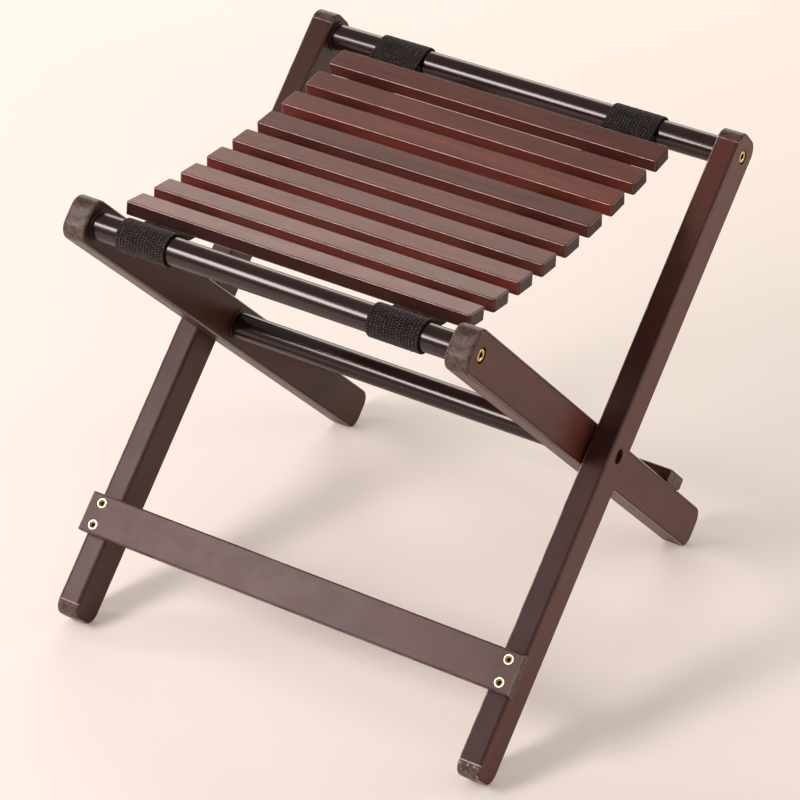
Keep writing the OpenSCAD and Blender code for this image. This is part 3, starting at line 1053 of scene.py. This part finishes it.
def socket_bolt(length):
    """Socket-head bolt along X, its head's top at x = 0 and its shank that long, towards -X."""
    head = rod(HEAD_R, -HEAD_H, 0, sides=64)
    draw_out(head, HEAD_H - length, inset=HEAD_R - BOLT_R)
    round_edges(head, lambda a, b: near(a.z, 0) and near(b.z, 0), BOLT_TOP_EASE, 3)
    cut(head, cone(BOLT_DISH_LOW_R, BOLT_DISH_R, -BOLT_DISH_DEEP, CUT_SKIM))
    cut(head, hex_cutter(BOLT_HEX, -HEAD_H / 2, CUT_ABOVE))
    smooth(head, 30)
    mark_socket_shade(head, BOLT_HEX, -BOLT_DISH_DEEP)
    return lay_along_x(head)


def washer():
    thick = LEG_GAP - PIVOT_PLAY
    ring = rod(WASHER_R, 0, thick, sides=64)
    cut(ring, rod(BOLT_R + BORE_ROOM, -thick, 2 * thick, sides=48))
    round_edges(ring, lambda a, b: near(a.z, b.z) and on_circle(a, WASHER_R), RIM_EASE, 2)
    smooth(ring)
    return lay_along_x(ring)


def half_turn(side):
    """Turns a piece made for the right to the left."""
    return Matrix.Identity(4) if side > 0 else spin(math.pi, "Z")


def make_tubes():
    up = move(0, TUBE_DIST, 0)
    rows = (
        ("rear", "outer_frame", OUTER_PLACE @ up, OUTER_INSIDE, OUTER_FACE - BOLT_RECESS),
        ("front", "inner_frame", INNER_PLACE @ up, INNER_INSIDE, INNER_FACE - BOLT_RECESS),
        ("pivot", "inner_frame", INNER_PLACE, INNER_INSIDE, OUTER_FACE - PIVOT_RECESS),
    )
    plug = end_plug()
    for word, body, place, face, bolt_top in rows:
        finish_piece(
            cross_tube(face), f"{word}_tube_steel", ENAMEL, body, place, [f"{word}_tube"]
        )
        bolt = socket_bolt(bolt_top - face + BOLT_GRIP)
        bolt_finish, bolt_slot, bolt_node = BRASS, "brass", f"{word}_tube_bolts"
        if word == "pivot":
            bolt_finish, bolt_slot, bolt_node = DARK_STEEL, "black_bolt", "pivot_bolts"
        for end, side in SIDES.items():
            out = place @ half_turn(side)
            finish_piece(
                copy_of(plug), f"{word}_tube_plug_{end}", PLASTIC, body,
                out @ move(face, 0, 0), [f"{word}_tube_plugs"],
            )
            as_driven = spin(BOLT_TURN * side, "X")
            finish_piece(
                copy_of(bolt), f"{word}_bolt_{end}", bolt_finish, body,
                out @ move(bolt_top, 0, 0) @ as_driven, [bolt_node],
            )
        discard(bolt)
    ring = washer()
    for end, side in SIDES.items():
        finish_piece(
            copy_of(ring), f"pivot_washer_ring_{end}", PLASTIC, "inner_frame",
            INNER_PLACE @ half_turn(side) @ move(INNER_FACE, 0, 0),
            ["pivot_washers"],
        )
    discard(plug, ring)


# Seat slats

def slat_place(i):
    """Where slat i lies on the shallow curve in which the seat hangs."""
    away = (MID_SLAT - i) * SLAT_PITCH
    spot = move(0, SEAT_MID_Y + away, TUBE_Z + SAG_K * away ** 2)
    return spot @ spin(math.atan(2 * SAG_K * away), "X")


def slat_blank():
    half = SLAT_THICK / 2
    board = block((SLAT_LEN, SLAT_W, SLAT_THICK))
    round_edges(board, lambda a, b: near(a.x, b.x) and near(a.y, b.y), SLAT_CORNER_R, 5)
    round_edges(board, lambda a, b: near(a.z, b.z) and near(a.z, half), SLAT_EASE, 3)
    round_edges(board, lambda a, b: near(a.z, b.z) and near(a.z, -half), SLAT_EASE / 2, 2)
    smooth(board)
    return board


def slat_screw():
    """Pan-head screw under a slat, pointing up, its head's underside at z = 0."""
    head = rod(SLAT_SCREW_HEAD_R, 0, SLAT_SCREW_HEAD_H, sides=32)
    draw_out(head, STRAP_T + SLAT_SCREW_GRIP, inset=SLAT_SCREW_HEAD_R - SLAT_SCREW_R)
    round_edges(head, lambda a, b: near(a.z, 0) and near(b.z, 0), SLAT_SCREW_EASE, 3)
    for angle in (0, math.pi / 2):
        slot = block(SLAT_SCREW_CROSS)
        slot.data.transform(spin(angle, "Z"))
        cut(head, slot)
    smooth(head, 30)
    return head


def paint_edge_shade(board, share):
    """Painted shade on the slats' long edges: darker and redder than their faces, and also duller."""
    edge = board.data.attributes.new("edge", "FLOAT", "POINT")
    shade = board.data.attributes["shade"]
    for point in board.data.vertices:
        if near(abs(point.co.y), SLAT_W / 2):
            shade.data[point.index].value *= share
            edge.data[point.index].value = 1.0


def make_slats():
    draw = random.Random(5)
    under = STRAP_MID + STRAP_T / 2 + SLAT_SCREW_HEAD_H
    blank = slat_blank()
    screw = slat_screw()
    for i in range(1, SLAT_COUNT + 1):
        board = copy_of(blank)
        note_board(board, "X", draw.uniform(0, 9), shade=SLAT_SHADES[i - 1])
        # Painted shade on the long edges, darkest on the front slat in the front tube's shade
        paint_edge_shade(board, FRONT_EDGE_PAINTED_SHADE if i == SLAT_COUNT else EDGE_PAINTED_SHADE)
        place = slat_place(i) @ move(0, 0, SLAT_RISE[i - 1]) @ spin(SLAT_LEAN[i - 1], "X")
        place = place @ move(0, 0, -SLAT_THICK / 2)
        finish_piece(board, f"seat_slat_{i}", SLAT_WOOD, f"seat_{i}", place, [f"slat_{i}"])
        screws = []
        for side in SIDES.values():
            for s in (-1, 1):
                made = copy_of(screw)
                x = side * STRAP_X + s * SLAT_SCREW_SPACE / 2
                spun = spin(draw.uniform(0, math.pi), "Z")
                made.data.transform(move(x, 0, -under) @ spun)
                screws.append(made)
        finish_piece(
            join(screws), f"seat_screws_{i}", PALE_ZINC, f"seat_{i}", slat_place(i),
            [f"slat_screws_{i}"],
        )
    discard(blank, screw)


# Webbing straps: a row of twisted ropes along one line in Y and Z

ROPE_COUNT = 16
ROPE_PITCH = STRAP_W / ROPE_COUNT
ROPE_HALF = STRAP_T / 2 - 0.00005
ROPE_VALLEY = 0.00075
ROPE_LAY = 0.0020
ROPE_GROOVE = 0.00042
ROPE_ROUGH = 0.00030
RING = 0.0005
ROPE_STEPS = 6
ROPE_FULLNESS = 0.8
ROPE_DRIFT = 2.6
ROPE_SLANT = 1.5
CORNER_PASSES = 6
HEM_TURN_R = 0.0025
HEM_LEN = 0.016


def arc(centre, radius, start, end, steps):
    angles = np.linspace(start, end, steps)
    return [np.array([centre[0] + radius * math.cos(a), centre[1] + radius * math.sin(a)]) for a in angles]


def loop_line(tube, bend, facing):
    """The strap's middle line from the end of its hem round the tube to the bend. facing is -1 where the
    seat lies in front of the tube and 1 where it lies behind."""
    gap = bend - tube
    reach = np.linalg.norm(gap)
    towards = math.atan2(gap[1], gap[0])
    leave = towards + facing * math.acos(LOOP_R / reach)
    hem_line = LOOP_R - STRAP_T
    turn_z = hem_line - HEM_TURN_R
    turn_y = math.sqrt((LOOP_R + HEM_TURN_R) ** 2 - turn_z ** 2)
    meet = math.atan2(turn_z, turn_y)
    points = [np.array([turn_y + HEM_LEN, hem_line])]
    points += arc((turn_y, turn_z), HEM_TURN_R, math.pi / 2, math.pi + meet, 10)
    points += arc((0, 0), LOOP_R, meet, -math.pi * 3 / 2, 80)[1:]
    turned = leave - math.pi / 2
    c, s = math.cos(turned), math.sin(turned)
    placed = []
    for y, z in points:
        y *= facing
        placed.append(tube + np.array([c * y - s * z, s * y + c * z]))
    return placed + [bend]


def resample(points, spacing):
    """Evenly spaced points on a line through those points, with its length before each."""
    points = np.array(points)
    steps = np.linalg.norm(np.diff(points, axis=0), axis=1)
    run = np.concatenate([[0], np.cumsum(steps)])
    count = max(2, int(round(run[-1] / spacing)) + 1)
    at = np.linspace(0, run[-1], count)
    return np.column_stack([np.interp(at, run, points[:, k]) for k in (0, 1)]), at


def soften(line, passes):
    """Rounds the corners of a line, with its ends kept."""
    for _ in range(passes):
        inner = (line[:-2] + 2 * line[1:-1] + line[2:]) / 4
        line = np.vstack([line[:1], inner, line[-1:]])
    return line


def rope_section():
    """The strap's outline in rows: across, half thickness with its sign, angle round the rope, and rope."""
    rows = []
    for sign in (1, -1):
        for k in range(ROPE_COUNT):
            for j in range(ROPE_STEPS):
                angle = math.pi * j / ROPE_STEPS
                across = -STRAP_W / 2 + (k + (1 - math.cos(angle)) / 2) * ROPE_PITCH
                high = ROPE_VALLEY + (ROPE_HALF - ROPE_VALLEY) * math.sin(angle) ** ROPE_FULLNESS
                rows.append((sign * across, sign * high, angle, k if sign > 0 else ROPE_COUNT - 1 - k))
    return rows


def strip_faces(rings, wide):
    """Faces between rings of so many points, and rows of faces that close both ends."""
    faces = []
    for r in range(rings - 1):
        for c in range(wide):
            d = (c + 1) % wide
            faces.append((r * wide + c, r * wide + d, (r + 1) * wide + d, (r + 1) * wide + c))
    for r in (0, rings - 1):
        for c in range(wide // 2 - 1):
            e = wide - 1 - c
            faces.append((r * wide + c, r * wide + c + 1, r * wide + e - 1, r * wide + e))
    return faces


def webbing(name, points, start_run, side):
    """A closed strip of webbing along those points in Y and Z. start_run is the strap's length before it."""
    line, run = resample(points, RING)
    line = soften(line, CORNER_PASSES)
    ahead = np.gradient(line, axis=0)
    ahead /= np.linalg.norm(ahead, axis=1)[:, None]
    out = np.column_stack([ahead[:, 1], -ahead[:, 0]])
    across, high, angle, rope = (np.array(column) for column in zip(*rope_section()))
    wide = len(across)

    # Two strands twist round each rope, on every second one the other way, and drift a little
    lay = np.where(rope % 2 == 0, 1, -1)
    chance = np.random.RandomState(11 + len(name))
    u = run[:, None] + start_run
    knots = np.arange(u[0, 0], u[-1, 0] + ROPE_LAY, ROPE_LAY / 2)
    drifts = chance.uniform(0, ROPE_DRIFT, (ROPE_COUNT, len(knots)))
    drift = np.stack([np.interp(u[:, 0], knots, d) for d in drifts], axis=1)
    drift = drift[:, rope] + math.pi * (rope % 2)
    twist = 0.5 + 0.5 * np.cos(2 * math.pi * u / ROPE_LAY + ROPE_SLANT * lay * angle + drift)
    # The crests, where the finish paints a highlight
    crest = np.sin(angle)[None, :] * (1 - twist)

    # Grooves between the strands, and threads that stand out unevenly
    uneven = chance.uniform(0, ROPE_ROUGH, (len(line), wide))
    dip = ROPE_GROOVE * twist * np.sin(angle)[None, :] + uneven
    push = high[None, :] - np.sign(high)[None, :] * dip

    # The strap has slipped along the tubes
    rear_slip, front_slip = STRAP_SLIP[side]
    share = (TUBE_Y - line[:, 0]) / (2 * TUBE_Y)
    slip = rear_slip + (front_slip - rear_slip) * share
    x = side * STRAP_X + slip[:, None] + across[None, :]
    y = line[:, :1] + out[:, :1] * push
    z = line[:, 1:] + out[:, 1:] * push
    verts = np.stack([x, y, z], axis=2).reshape(-1, 3)

    mesh = bpy.data.meshes.new(name)
    mesh.from_pydata(verts.tolist(), [], strip_faces(len(line), wide))
    piece = bpy.data.objects.new(name, mesh)
    bpy.context.collection.objects.link(piece)
    weave = np.stack([np.broadcast_to(u, push.shape), np.broadcast_to(across, push.shape), push], axis=2)
    note(piece, "weave", weave.ravel(), "FLOAT_VECTOR")
    note(piece, "crest", crest.ravel())
    only(piece)
    open_edit()
    bpy.ops.mesh.select_all(action="SELECT")
    bpy.ops.mesh.normals_make_consistent(inside=False)
    close_edit()
    bpy.ops.object.shade_smooth_by_angle(angle=math.radians(60))
    return piece


def line_length(points):
    return float(np.sum(np.linalg.norm(np.diff(np.array(points), axis=0), axis=1)))


def strap_point(i, along):
    """[y, z] of the strap's middle line under slat i, so far along to the rear."""
    spot = slat_place(i) @ Vector((0, along, -STRAP_MID))
    return np.array([spot.y, spot.z])


def lay_strap(name, points, run, side, body, nodes):
    """A stretch of strap, with its length added to run."""
    piece = webbing(name, points, run, side)
    finish_piece(piece, name, WEBBING, body, Matrix.Identity(4), nodes)
    return piece, run + line_length(points)


def make_straps():
    end = SLAT_W / 2 + BEND_ROOM
    rear_bend = strap_point(1, end)
    front_bend = strap_point(SLAT_COUNT, -end)
    rear_loop = loop_line(np.array([TUBE_Y, TUBE_Z]), rear_bend, -1) + [strap_point(1, 0)]
    front_loop = loop_line(np.array([-TUBE_Y, TUBE_Z]), front_bend, 1) + [strap_point(SLAT_COUNT, 0)]
    front_loop = front_loop[::-1]
    spans = []
    for i in range(1, SLAT_COUNT):
        first = [strap_point(i, 0), strap_point(i, -SLAT_W / 2)]
        second = [strap_point(i + 1, SLAT_W / 2), strap_point(i + 1, 0)]
        spans.append((i, first, second))
    for word, side in SIDES.items():
        nodes = [f"rear_loop_{word}", f"strap_{word}_1"]
        piece, run = lay_strap(f"strap_{word}_rear_end", rear_loop, 0.0, side, None, nodes)
        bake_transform(piece)
        for i, first, second in spans:
            name = f"strap_{word}_{i}_{i + 1}"
            middle = (first[-1] + second[0]) / 2
            if i == OPEN_AFTER:
                halves = ((first + [middle], "rear", i), ([middle] + second, "front", i + 1))
                for points, half, seat in halves:
                    nodes = [f"strap_{word}_{seat}"]
                    _, run = lay_strap(f"{name}_{half}", points, run, side, f"seat_{seat}", nodes)
                continue
            nodes = [f"strap_{word}_{i}", f"strap_{word}_{i + 1}"]
            piece, run = lay_strap(name, first + second, run, side, None, nodes)
            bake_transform(piece)
        nodes = [f"front_loop_{word}", f"strap_{word}_{SLAT_COUNT}"]
        piece, run = lay_strap(f"strap_{word}_front_end", front_loop, run, side, None, nodes)
        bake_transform(piece)


# The inserts, and the making of it all

def dress_inserts():
    """The threaded inserts keep their shape from the frame."""
    for word in ("front", "rear"):
        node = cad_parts[f"{word}_crossbar_inserts"]
        node.data.materials.clear()
        node.data.materials.append(BRASS)


make_camera()
make_light()
make_floor()
make_legs()
make_crossbars()
make_tubes()
make_slats()
make_straps()
dress_inserts()

bpy.context.scene.view_settings.view_transform = "Standard"
